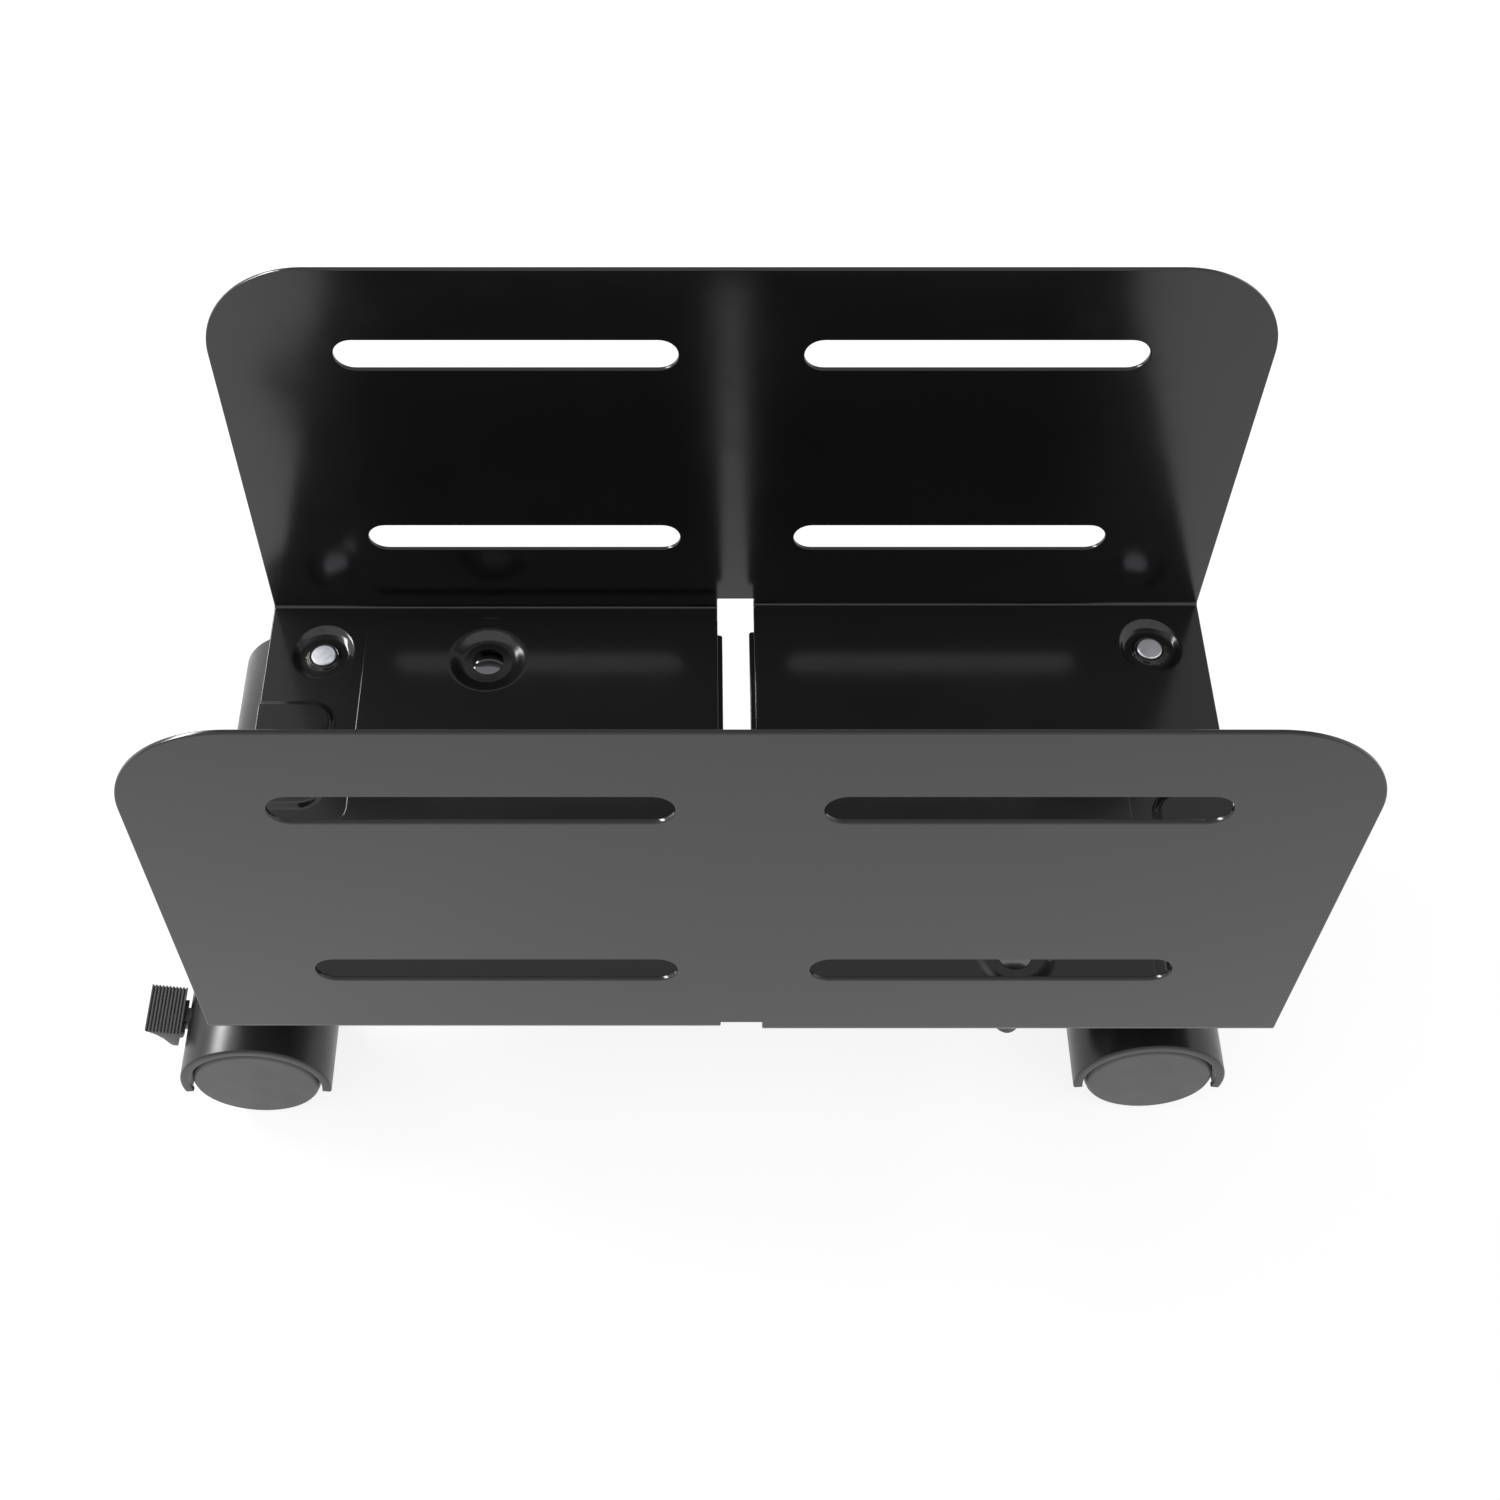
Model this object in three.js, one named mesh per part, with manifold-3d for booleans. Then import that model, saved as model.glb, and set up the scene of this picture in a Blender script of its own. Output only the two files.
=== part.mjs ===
// Rolling stand for a computer tower: two bent steel plates slide over each other to set the width, two
// clamp knobs hold that width, and four hooded twin-wheel casters carry it. Millimetres, +Z up, the floor at
// z = 0. +X runs along the two walls and +Y from the front wall to the rear wall.
import * as THREE from "three";
import { mergeVertices } from "three/addons/utils/BufferGeometryUtils.js";
import Module from "manifold-3d";

const wasm = await Module();
wasm.setup();

// ---- driving dimensions: the whole stand ----
const SHEET = 1.5; // thickness of both plates
const LENGTH = 320; // length of the walls, along X
const INNER_WIDTH = 161.5; // between the two walls' inner faces at rest
const DECK_HEIGHT = 58.1; // floor to the top of the lower flanges
const WALL_TOP = 153.1; // top of the walls above the lower flanges' top
const LAP_GAP = 0.2; // between a lower flange and the upper flange that lies on it
const FIT_GAP = 0.3; // between pieces that touch
const WIDEN_TRAVEL = 80; // how far the stand opens from rest
const NARROW_TRAVEL = 5; // how far it closes from rest

// ---- driving dimensions: plates, each measured from its own wall's outer face (y) and its middle (x) ----
const BEND_INNER = 1; // inner radius of the bend between wall and flange
const WALL_CORNER = 33.1;
const SLOT_START = 18.9; // the wall slots' nearest and furthest distance from the middle
const SLOT_END = 122.5;
const SLOT_HEIGHT = 12;
const SLOT_LOW = 36.4; // slot centres above the lower flanges' top
const SLOT_HIGH = 119.5;
const NOTCH_HALF = 6.2; // relief notch at the foot of the wall, between its two flanges
const NOTCH_TOP = 4.1;
const LOWER_EDGE = 4.55; // the lower flange's edge at the middle gap, beyond the relief
const RELIEF_DEPTH = 14;
const LOWER_ARM_REACH = 119.5;
const LOWER_ARM_INSET = 118;
const LOWER_REACH = 152;
const UPPER_WIDE_REACH = 73;
const TONGUE_EDGE = 126.7;
const TONGUE_REACH = 156.5;
const TONGUE_FILLET = 5.5;
const PAD = { x: 134, y: 42.5, length: 43, corner: 8.5, slope: 1.8 }; // raised pad on the lower flange

// ---- driving dimensions: stems, bolts and knobs ----
const UPPER_STEM = { x: 141.2, y: 20.7 }; // caster stem in the upper flange
const LOWER_STEM = { x: 140.8, y: 22.2 }; // caster stem in the lower flange
const STEM_DIMPLE = { rim: 10.4, floor: 8.35, depth: 2, hole: 4.6 };
const BOLT_DIMPLE = { rim: 13.25, floor: 8.65, depth: 1.8, hole: 4.3 };
const BOLT_X = 84.4;
const BOLT_INSET = 25.7; // bolt axis to the opposite wall's outer face at rest
const BOLT_RADIUS = 3;
const BOLT_HEAD_RADIUS = 5.3;
const BOLT_DOME = 1.3;
const BOLT_NECK = { width: 5.8, length: 1.7 }; // square neck in the upper plate's hole
const BOLT_END = 35.6; // lower end of the bolt, inside the knob
const TROUGH = { floor: 9.3, top: 14, depth: 2.7, slot: 3.6 }; // guide in the lower flange, half widths
const WASHER = { radius: 11, thickness: 1.5 };
const KNOB = { radius: 12.3, lobe: 0.7, lobes: 8, bottom: 29.6, grip: 12.5, hub: 7.5 };

// ---- driving dimensions: casters ----
const WHEEL_RADIUS = 20;
const TRAIL = 11.3; // stem axis to axle
const HOOD_OUTER = 23.6;
const HOOD_WALL = 2.4;
const HOOD_WIDTH = 42.1;
const HOOD_DROP = 4.4; // the hood's lower edges below the axle
const WEB_HALF = 5.5; // half the thickness of the web between the wheels
const BOSS_RADIUS = 8.5;
const BOSS_TOP = 48.5;
const STEM_RADIUS = 3.5;
const STEM_END_RADIUS = 4.2;
const STEM_PROUD = 1.6; // the stem's end above its dimple's floor
const COLLAR_RADIUS = 7.4;
const COLLAR_BOTTOM = 50.3;
const AXLE_RADIUS = 2.5;
const WHEEL = { hub: 6, face: 6, rim: 17, shoulder: 18.6, step: 1.4 }; // radii; face and step are depths
const CAP = { radius: 19.6, thickness: 1.7, inset: 0.2 };
const LEVER_PIVOT = { x: -26, z: 23, pin: 1.2, eye: 3.2 }; // from the stem axis and the floor
const LEVER_WIDTH = 16.3;
const SHOULDER_WIDTH = 12.8; // the lever where it meets the hood
const TONGUE_WIDTH = 5; // the lever's tongue, in the web's slot

// ---- how finely round shapes are divided ----
const ROUND = 16; // sides of small round pieces
const WHEEL_SIDES = 24;

// ---- derived places ----
const OUTER_WIDTH = INNER_WIDTH + 2 * SHEET;
const UPPER_TOP = DECK_HEIGHT + LAP_GAP + SHEET;
const BEND_OUTER = BEND_INNER + SHEET;
const HOOD_INNER = HOOD_OUTER - HOOD_WALL;
const TROUGH_UNDERSIDE = DECK_HEIGHT - TROUGH.depth - SHEET;
const WASHER_TOP = TROUGH_UNDERSIDE - FIT_GAP;
const KNOB_TOP = WASHER_TOP - WASHER.thickness - FIT_GAP;
const WHEEL_WIDTH = HOOD_WIDTH / 2 - WEB_HALF - 0.5;

const finish = (color, roughness, metalness) => () =>
  new THREE.MeshStandardMaterial({ color, roughness, metalness });
const steelBlack = finish(0x1d1d1f, 0.3, 0);
const chromeBlack = finish(0x2a2a2c, 0.1, 0.6);
const plasticBlack = finish(0x141415, 0.45, 0);
const plasticGrey = finish(0x2e2e30, 0.5, 0);
const zinc = finish(0xb4b7bc, 0.35, 0.9);

// A closed three.js geometry as a solid that can be joined and cut.
function solid(geometry) {
  const bare = geometry.clone();
  bare.deleteAttribute("normal");
  bare.deleteAttribute("uv");
  const merged = mergeVertices(bare, 1e-4);
  return new wasm.Manifold(
    new wasm.Mesh({
      numProp: 3,
      vertProperties: merged.attributes.position.array,
      triVerts: new Uint32Array(merged.index.array),
    }),
  );
}

function geometryOf(made) {
  const mesh = made.getMesh();
  const geometry = new THREE.BufferGeometry();
  geometry.setAttribute("position", new THREE.BufferAttribute(new Float32Array(mesh.vertProperties), 3));
  geometry.setIndex(new THREE.BufferAttribute(new Uint32Array(mesh.triVerts), 1));
  geometry.computeVertexNormals();
  return geometry;
}

// A shape in X and Y, raised along Z from bottom to top.
function prism(shape, bottom, top, curveSegments = 5) {
  const depth = top - bottom;
  const geometry = new THREE.ExtrudeGeometry(shape, { depth, bevelEnabled: false, curveSegments });
  return geometry.translate(0, 0, bottom);
}

// A shape drawn in X and Z, running along Y from front to back.
function prismAlongY(shape, front, back, curveSegments = 5) {
  return prism(shape, -back, -front, curveSegments).rotateX(Math.PI / 2);
}

// A shape drawn in Y and Z, running along X from left to right.
function prismAlongX(shape, left, right, curveSegments = 5) {
  const turn = new THREE.Matrix4().makeBasis(
    new THREE.Vector3(0, 1, 0),
    new THREE.Vector3(0, 0, 1),
    new THREE.Vector3(1, 0, 0),
  );
  return prism(shape, left, right, curveSegments).applyMatrix4(turn);
}

function cylinder(radius, bottom, top, segments = ROUND) {
  const geometry = new THREE.CylinderGeometry(radius, radius, top - bottom, segments);
  return geometry.rotateX(Math.PI / 2).translate(0, 0, (top + bottom) / 2);
}

function cylinderAlongY(radius, front, back, segments = ROUND) {
  const geometry = new THREE.CylinderGeometry(radius, radius, back - front, segments);
  return geometry.translate(0, (back + front) / 2, 0);
}

// A profile of [radius, height] points turned about Z. Its points run so that the faces point out.
function turned(points, segments = ROUND) {
  const outline = points.map(([radius, height]) => new THREE.Vector2(radius, height));
  return new THREE.LatheGeometry(outline, segments).rotateX(Math.PI / 2);
}

function box(low, high) {
  const size = high.map((value, i) => value - low[i]);
  const middle = high.map((value, i) => (value + low[i]) / 2);
  return new THREE.BoxGeometry(...size).translate(...middle);
}

// A slot with round ends, from one end's centre to the other's, as a Shape or a hole's Path.
function roundSlot(x0, y0, x1, y1, radius, Kind = THREE.Shape) {
  const along = Math.atan2(y1 - y0, x1 - x0);
  const outline = new Kind();
  outline.absarc(x1, y1, radius, along - Math.PI / 2, along + Math.PI / 2, false);
  outline.absarc(x0, y0, radius, along + Math.PI / 2, along + (3 * Math.PI) / 2, false);
  outline.closePath();
  return outline;
}

// ---- plates ----

// One wall with its four slots, round top corners and the relief notch at the foot.
function wallPanel() {
  const half = LENGTH / 2;
  const top = DECK_HEIGHT + WALL_TOP;
  const foot = UPPER_TOP + BEND_INNER;
  const notch = DECK_HEIGHT + NOTCH_TOP;
  const outline = new THREE.Shape();
  outline.moveTo(-half, foot);
  outline.lineTo(-NOTCH_HALF, foot);
  outline.lineTo(-NOTCH_HALF, notch);
  outline.lineTo(NOTCH_HALF, notch);
  outline.lineTo(NOTCH_HALF, foot);
  outline.lineTo(half, foot);
  outline.absarc(half - WALL_CORNER, top - WALL_CORNER, WALL_CORNER, 0, Math.PI / 2, false);
  outline.absarc(-half + WALL_CORNER, top - WALL_CORNER, WALL_CORNER, Math.PI / 2, Math.PI, false);
  outline.closePath();
  const end = SLOT_HEIGHT / 2;
  for (const side of [-1, 1]) {
    for (const height of [SLOT_LOW, SLOT_HIGH]) {
      const near = side * (SLOT_START + end);
      const far = side * (SLOT_END - end);
      const z = DECK_HEIGHT + height;
      outline.holes.push(roundSlot(Math.min(near, far), z, Math.max(near, far), z, end, THREE.Path));
    }
  }
  return prismAlongY(outline, 0, SHEET);
}

// The bend that joins the wall to a flange whose underside is at level.
function bend(level, left, right) {
  const reach = 12;
  const top = UPPER_TOP + BEND_INNER + 2;
  const profile = new THREE.Shape();
  profile.moveTo(0, top);
  profile.lineTo(0, level + BEND_OUTER);
  profile.absarc(BEND_OUTER, level + BEND_OUTER, BEND_OUTER, Math.PI, 1.5 * Math.PI, false);
  profile.lineTo(reach, level);
  profile.lineTo(reach, level + SHEET);
  profile.lineTo(SHEET + BEND_INNER, level + SHEET);
  profile.absarc(SHEET + BEND_INNER, level + BEND_OUTER, BEND_INNER, 1.5 * Math.PI, Math.PI, true);
  profile.lineTo(SHEET, top);
  profile.closePath();
  return prismAlongX(profile, left, right, 4);
}

// The upper flange: full width near its wall, then a narrower tongue with a concave fillet between them.
function upperFlange() {
  const half = LENGTH / 2;
  const outline = new THREE.Shape();
  outline.moveTo(-half, BEND_OUTER + 2);
  outline.lineTo(-NOTCH_HALF, BEND_OUTER + 2);
  outline.lineTo(-NOTCH_HALF, TONGUE_REACH);
  const round = TONGUE_FILLET;
  outline.absarc(-TONGUE_EDGE + round, TONGUE_REACH - round, round, Math.PI / 2, Math.PI, false);
  outline.lineTo(-TONGUE_EDGE, UPPER_WIDE_REACH + round);
  outline.absarc(-TONGUE_EDGE - round, UPPER_WIDE_REACH + round, round, 0, -Math.PI / 2, true);
  outline.lineTo(-half + 2, UPPER_WIDE_REACH);
  outline.absarc(-half + 2, UPPER_WIDE_REACH - 2, 2, Math.PI / 2, Math.PI, false);
  outline.closePath();
  return prism(outline, UPPER_TOP - SHEET, UPPER_TOP);
}

// The lower flange: an outer arm that stops short of the other plate's caster, and a longer inner part.
function lowerFlange() {
  const half = LENGTH / 2;
  const outline = new THREE.Shape();
  outline.moveTo(NOTCH_HALF, BEND_OUTER + 2);
  outline.lineTo(half, BEND_OUTER + 2);
  outline.absarc(half - 6, LOWER_ARM_REACH - 6, 6, 0, Math.PI / 2, false);
  outline.lineTo(LOWER_ARM_INSET, LOWER_ARM_REACH);
  outline.absarc(LOWER_ARM_INSET - 6, LOWER_REACH - 6, 6, 0, Math.PI / 2, false);
  outline.lineTo(LOWER_EDGE, LOWER_REACH);
  outline.lineTo(LOWER_EDGE, RELIEF_DEPTH + NOTCH_HALF - LOWER_EDGE);
  outline.lineTo(NOTCH_HALF, RELIEF_DEPTH);
  outline.closePath();
  return prism(outline, DECK_HEIGHT - SHEET, DECK_HEIGHT);
}

// A pressed dimple: the sheet runs down from the rim to a flat floor with a hole in it.
function dimple(size, top) {
  const lean = Math.atan2(size.depth, size.rim - size.floor) / 2;
  const shift = SHEET * Math.tan(lean); // keeps the sheet's thickness round the bend
  const root = size.rim + shift + 0.8;
  const profile = [
    [root, top - SHEET],
    [root, top],
    [size.rim, top],
    [size.floor, top - size.depth],
    [size.hole, top - size.depth],
    [size.hole, top - size.depth - SHEET],
    [size.floor + shift, top - size.depth - SHEET],
    [size.rim + shift, top - SHEET],
    [root, top - SHEET],
  ];
  return { ring: turned(profile), opening: cylinder(size.rim + shift + 0.3, top - 3 * SHEET, top + SHEET) };
}

function pressDimple(plate, size, top, x, y) {
  const { ring, opening } = dimple(size, top);
  const opened = plate.subtract(solid(opening.translate(x, y, 0)));
  return opened.add(solid(ring.translate(x, y, 0)));
}

// A raised or sunk field with sloping sides: the outline is its flat top, and it widens by slope over rise.
function pressed(outline, bottom, top, rise, slope) {
  const depth = top - bottom - rise;
  const geometry = new THREE.ExtrudeGeometry(outline, {
    depth,
    bevelThickness: rise,
    bevelSize: slope,
    bevelSegments: 1,
    curveSegments: 4,
  });
  const whole = solid(geometry.translate(0, 0, bottom));
  return whole.subtract(solid(box([-LENGTH, -LENGTH, bottom - 20], [LENGTH, LENGTH, bottom])));
}

// The same field turned over about Y: the outline is its flat bottom, drawn at the opposite x.
function pressedDown(outline, bottom, top, drop, slope) {
  return solid(geometryOf(pressed(outline, -top, -bottom, drop, slope)).rotateY(Math.PI));
}

function addRaisedPad(plate) {
  const edge = LENGTH / 2 + 12;
  const { x, y, length, corner, slope } = PAD;
  const outline = new THREE.Shape();
  outline.moveTo(edge, y + slope);
  outline.lineTo(edge, y + length - slope);
  const left = x + slope + corner;
  outline.absarc(left, y + length - slope - corner, corner, Math.PI / 2, Math.PI, false);
  outline.absarc(left, y + slope + corner, corner, Math.PI, 1.5 * Math.PI, false);
  outline.closePath();
  const raised = pressed(outline, DECK_HEIGHT - SHEET, DECK_HEIGHT + SHEET, SHEET, slope);
  const hollow = pressed(outline, DECK_HEIGHT - 2 * SHEET, DECK_HEIGHT, SHEET, slope);
  const beyond = solid(box([LENGTH / 2, 0, 0], [LENGTH, LENGTH, DECK_HEIGHT + 20]));
  return plate.add(raised.subtract(beyond)).subtract(hollow);
}

function addGuideTrough(plate) {
  const near = BOLT_INSET - NARROW_TRAVEL;
  const far = BOLT_INSET + WIDEN_TRAVEL;
  const slope = TROUGH.top - TROUGH.floor;
  const floor = roundSlot(-BOLT_X, near, -BOLT_X, far, TROUGH.floor);
  const sunk = pressedDown(floor, DECK_HEIGHT - SHEET - TROUGH.depth, DECK_HEIGHT, TROUGH.depth, slope);
  const hollow = pressedDown(floor, DECK_HEIGHT - TROUGH.depth, DECK_HEIGHT + SHEET, TROUGH.depth, slope);
  const slot = roundSlot(BOLT_X, near, BOLT_X, far, TROUGH.slot);
  const opening = solid(prism(slot, DECK_HEIGHT - 10, DECK_HEIGHT + 2));
  return plate.add(sunk).subtract(hollow).subtract(opening);
}

// One whole plate. From outside its wall, the upper flange is on the left and the lower one on the right.
function plateGeometry() {
  const half = LENGTH / 2;
  let plate = solid(wallPanel());
  plate = plate.add(solid(bend(UPPER_TOP - SHEET, -half, -NOTCH_HALF)));
  plate = plate.add(solid(bend(DECK_HEIGHT - SHEET, NOTCH_HALF, half)));
  plate = plate.add(solid(upperFlange()));
  plate = plate.add(solid(lowerFlange()));
  plate = addRaisedPad(plate);
  plate = addGuideTrough(plate);
  plate = pressDimple(plate, STEM_DIMPLE, UPPER_TOP, -UPPER_STEM.x, UPPER_STEM.y);
  plate = pressDimple(plate, STEM_DIMPLE, DECK_HEIGHT, LOWER_STEM.x, LOWER_STEM.y);
  plate = pressDimple(plate, BOLT_DIMPLE, UPPER_TOP, -BOLT_X, OUTER_WIDTH - BOLT_INSET);
  return geometryOf(plate);
}

// ---- clamp bolt, washer and knob, about their own axis ----

function boltGeometry() {
  const seat = UPPER_TOP - BOLT_DIMPLE.depth + 0.2;
  const sphere = (BOLT_HEAD_RADIUS ** 2 + BOLT_DOME ** 2) / (2 * BOLT_DOME);
  const half = Math.asin(BOLT_HEAD_RADIUS / sphere);
  const profile = [[0, BOLT_END], [BOLT_RADIUS, BOLT_END], [BOLT_RADIUS, seat]];
  for (let i = 0; i <= 4; i++) {
    const angle = half * (1 - i / 4);
    const radius = sphere * Math.sin(angle);
    profile.push([i === 4 ? 0 : radius, seat + BOLT_DOME - sphere * (1 - Math.cos(angle))]);
  }
  const flat = BOLT_NECK.width / 2;
  const neck = box([-flat, -flat, seat - BOLT_NECK.length], [flat, flat, seat + 0.5]);
  return geometryOf(solid(turned(profile)).add(solid(neck)));
}

function ring(inner, outer, bottom, top, segments = ROUND) {
  return turned([[inner, bottom], [outer, bottom], [outer, top], [inner, top], [inner, bottom]], segments);
}

function knobGeometry() {
  const outline = new THREE.Shape();
  const steps = KNOB.lobes * 4;
  for (let i = 0; i < steps; i++) {
    const angle = (2 * Math.PI * i) / steps;
    const radius = KNOB.radius + KNOB.lobe * Math.cos(KNOB.lobes * angle);
    outline[i ? "lineTo" : "moveTo"](radius * Math.cos(angle), radius * Math.sin(angle));
  }
  outline.closePath();
  const grip = solid(prism(outline, KNOB.bottom, KNOB.bottom + KNOB.grip));
  const hub = solid(cylinder(KNOB.hub, KNOB.bottom + KNOB.grip - 1, KNOB_TOP));
  const bore = solid(cylinder(BOLT_RADIUS + FIT_GAP, KNOB.bottom + 5, KNOB_TOP + 1));
  return geometryOf(grip.add(hub).subtract(bore));
}

// ---- caster pieces, about the stem's axis, with the wheels trailing towards -X ----

function stemGeometry(flangeTop) {
  const dimpleFloor = flangeTop - STEM_DIMPLE.depth;
  const collarTop = dimpleFloor - SHEET - FIT_GAP;
  const profile = [
    [0, 14.5],
    [STEM_RADIUS - 0.5, 14.5],
    [STEM_RADIUS, 15],
    [STEM_RADIUS, COLLAR_BOTTOM],
    [COLLAR_RADIUS, COLLAR_BOTTOM],
    [COLLAR_RADIUS, collarTop],
    [STEM_END_RADIUS, collarTop],
    [STEM_END_RADIUS, dimpleFloor + STEM_PROUD],
    [0, dimpleFloor + STEM_PROUD],
  ];
  return turned(profile);
}

// Cylinder about the axle, as a solid to add or cut.
function aboutAxle(radius, half, segments = 24) {
  return solid(cylinderAlongY(radius, -half, half, segments).translate(-TRAIL, 0, WHEEL_RADIUS));
}

// The hood: an arch over both wheels, a web between them, and a boss for the stem. A braked one has a slot.
function hoodGeometry(braked) {
  const lower = WHEEL_RADIUS - HOOD_DROP;
  const half = HOOD_WIDTH / 2;
  const start = -Math.asin(HOOD_DROP / HOOD_OUTER);
  const outline = new THREE.Shape();
  outline.absarc(-TRAIL, WHEEL_RADIUS, HOOD_OUTER, start, Math.PI - start, false);
  const innerStart = -Math.asin(HOOD_DROP / HOOD_INNER);
  outline.absarc(-TRAIL, WHEEL_RADIUS, HOOD_INNER, Math.PI - innerStart, innerStart, true);
  outline.closePath();
  const arch = solid(prismAlongY(outline, -half, half, 14));
  const post = solid(cylinder(BOSS_RADIUS, WHEEL_RADIUS, BOSS_TOP));
  const boss = post.subtract(aboutAxle(HOOD_INNER + 0.4, half));
  const webDisc = aboutAxle(HOOD_INNER + 0.8, WEB_HALF);
  const below = solid(box([-60, -30, -10], [60, 30, lower]));
  const socket = solid(cylinder(STEM_RADIUS + FIT_GAP, 14, BOSS_TOP + 1));
  let hood = arch.add(boss).add(webDisc.subtract(below));
  hood = hood.subtract(socket).subtract(aboutAxle(AXLE_RADIUS + FIT_GAP, 30, ROUND));
  if (braked) {
    const slotHalf = TONGUE_WIDTH / 2 + FIT_GAP;
    const slot = solid(box([-60, -slotHalf, 10], [-20.5, slotHalf, 31]));
    const pinHole = cylinderAlongY(LEVER_PIVOT.pin + FIT_GAP, -WEB_HALF - 1, WEB_HALF + 1, 12);
    hood = hood.subtract(slot).subtract(solid(pinHole.translate(LEVER_PIVOT.x, 0, LEVER_PIVOT.z)));
  }
  return geometryOf(hood);
}

// One wheel about Y, from its inner side at y = 0 outwards, with a hub, a disc and a rim. A flat of its
// many-sided tread rests on the floor, so the corners stand a little outside the true radius.
function wheelGeometry() {
  const outer = WHEEL_WIDTH - CAP.inset - CAP.thickness - FIT_GAP;
  const bore = AXLE_RADIUS + FIT_GAP;
  const tread = WHEEL_RADIUS / Math.cos(Math.PI / WHEEL_SIDES);
  const profile = [
    [bore, 0],
    [WHEEL.hub, 0],
    [WHEEL.hub, WHEEL.face],
    [WHEEL.rim, WHEEL.face],
    [WHEEL.rim, FIT_GAP],
    [WHEEL.shoulder, FIT_GAP],
    [tread, FIT_GAP + WHEEL.step],
    [tread, outer],
    [bore, outer],
    [bore, 0],
  ];
  const outline = profile.map(([radius, height]) => new THREE.Vector2(radius, height));
  return new THREE.LatheGeometry(outline, WHEEL_SIDES, Math.PI / WHEEL_SIDES);
}

// The cap that covers a wheel's outer side, in the wheel's own frame.
function capGeometry() {
  const outer = WHEEL_WIDTH - CAP.inset;
  const profile = [
    [0, outer - CAP.thickness],
    [CAP.radius, outer - CAP.thickness],
    [CAP.radius, outer - 0.5],
    [CAP.radius - 0.5, outer],
    [0, outer],
  ];
  const outline = profile.map(([radius, height]) => new THREE.Vector2(radius, height));
  return new THREE.LatheGeometry(outline, WHEEL_SIDES, Math.PI / WHEEL_SIDES);
}

// The brake lever: a pedal and its shoulder outside the hood, and a tongue that reaches the pivot pin in the
// web's slot.
function leverGeometry() {
  const pedal = new THREE.Shape();
  pedal.moveTo(-45.7, 32.2);
  pedal.quadraticCurveTo(-41.5, 29.3, -39.9, 24);
  pedal.quadraticCurveTo(-39.3, 22.1, -37.3, 22.1);
  pedal.quadraticCurveTo(-35.9, 26.8, -34.8, 30.5);
  pedal.lineTo(-45.7, 33);
  pedal.closePath();
  const eye = new THREE.Shape();
  const { x, z, pin } = LEVER_PIVOT;
  eye.moveTo(-37.5, 28.6);
  eye.lineTo(-37.5, 23);
  eye.lineTo(x - 2, z - LEVER_PIVOT.eye);
  eye.absarc(x, z, LEVER_PIVOT.eye, 1.5 * Math.PI, 2.5 * Math.PI, false);
  eye.closePath();
  eye.holes.push(new THREE.Path().absarc(x, z, pin + FIT_GAP, 0, 2 * Math.PI, true));
  const shoulder = new THREE.Shape();
  shoulder.moveTo(-38.5, 22.8);
  shoulder.lineTo(-36, 22.8);
  shoulder.lineTo(-35.1, 25);
  shoulder.lineTo(-34.6, 26.8);
  shoulder.lineTo(-36.5, 26.8);
  shoulder.closePath();
  const across = (shape, width) => solid(prismAlongY(shape, -width / 2, width / 2, 4));
  const lever = across(pedal, LEVER_WIDTH).add(across(shoulder, SHOULDER_WIDTH));
  return geometryOf(lever.add(across(eye, TONGUE_WIDTH)));
}

// ---- assembly ----

const stand = new THREE.Group();

function place(name, geometry, material, position = [0, 0, 0], turn = 0, parent = stand) {
  const mesh = new THREE.Mesh(geometry, material);
  mesh.name = name;
  mesh.position.set(...position);
  mesh.rotation.z = turn;
  parent.add(mesh);
  return mesh;
}

const front = -OUTER_WIDTH / 2;
place("front_plate", plateGeometry(), steelBlack(), [0, front, 0]);
place("rear_plate", plateGeometry(), steelBlack(), [0, -front, 0], Math.PI);

const clamps = [
  { name: "rear_left", x: -BOLT_X, y: -front - BOLT_INSET },
  { name: "front_right", x: BOLT_X, y: front + BOLT_INSET },
];
for (const { name, x, y } of clamps) {
  const washer = ring(BOLT_RADIUS + FIT_GAP, WASHER.radius, WASHER_TOP - WASHER.thickness, WASHER_TOP);
  place(name + "_clamp_bolt", boltGeometry(), chromeBlack(), [x, y, 0]);
  place(name + "_clamp_washer", washer, zinc(), [x, y, 0]);
  place(name + "_clamp_knob", knobGeometry(), plasticBlack(), [x, y, 0]);
}

function addCaster({ name, x, y, flangeTop, braked }) {
  const caster = new THREE.Group();
  caster.position.set(x, y, 0);
  stand.add(caster);
  const put = (piece, geometry, material, position, turn) =>
    place(name + "_" + piece, geometry, material, position, turn, caster);
  put("stem", stemGeometry(flangeTop), zinc());
  const slack = STEM_RADIUS + FIT_GAP;
  put("swivel_washer", ring(slack, BOSS_RADIUS - 0.5, BOSS_TOP + FIT_GAP, COLLAR_BOTTOM - FIT_GAP), zinc());
  put("hood", hoodGeometry(braked), plasticBlack());
  const reach = WEB_HALF + 10;
  put("axle", cylinderAlongY(AXLE_RADIUS, -reach, reach), zinc(), [-TRAIL, 0, WHEEL_RADIUS]);
  for (const [side, facing] of [["front", -1], ["rear", 1]]) {
    const at = [-TRAIL, facing * (WEB_HALF + 0.5), WHEEL_RADIUS];
    const turn = facing < 0 ? Math.PI : 0;
    put(side + "_wheel", wheelGeometry(), plasticBlack(), at, turn);
    put(side + "_cap", capGeometry(), plasticGrey(), at, turn);
  }
  if (braked) {
    const pin = cylinderAlongY(LEVER_PIVOT.pin, -WEB_HALF + FIT_GAP, WEB_HALF - FIT_GAP, 12);
    put("lever", leverGeometry(), plasticBlack());
    put("lever_pin", pin, zinc(), [LEVER_PIVOT.x, 0, LEVER_PIVOT.z]);
  }
}

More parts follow.
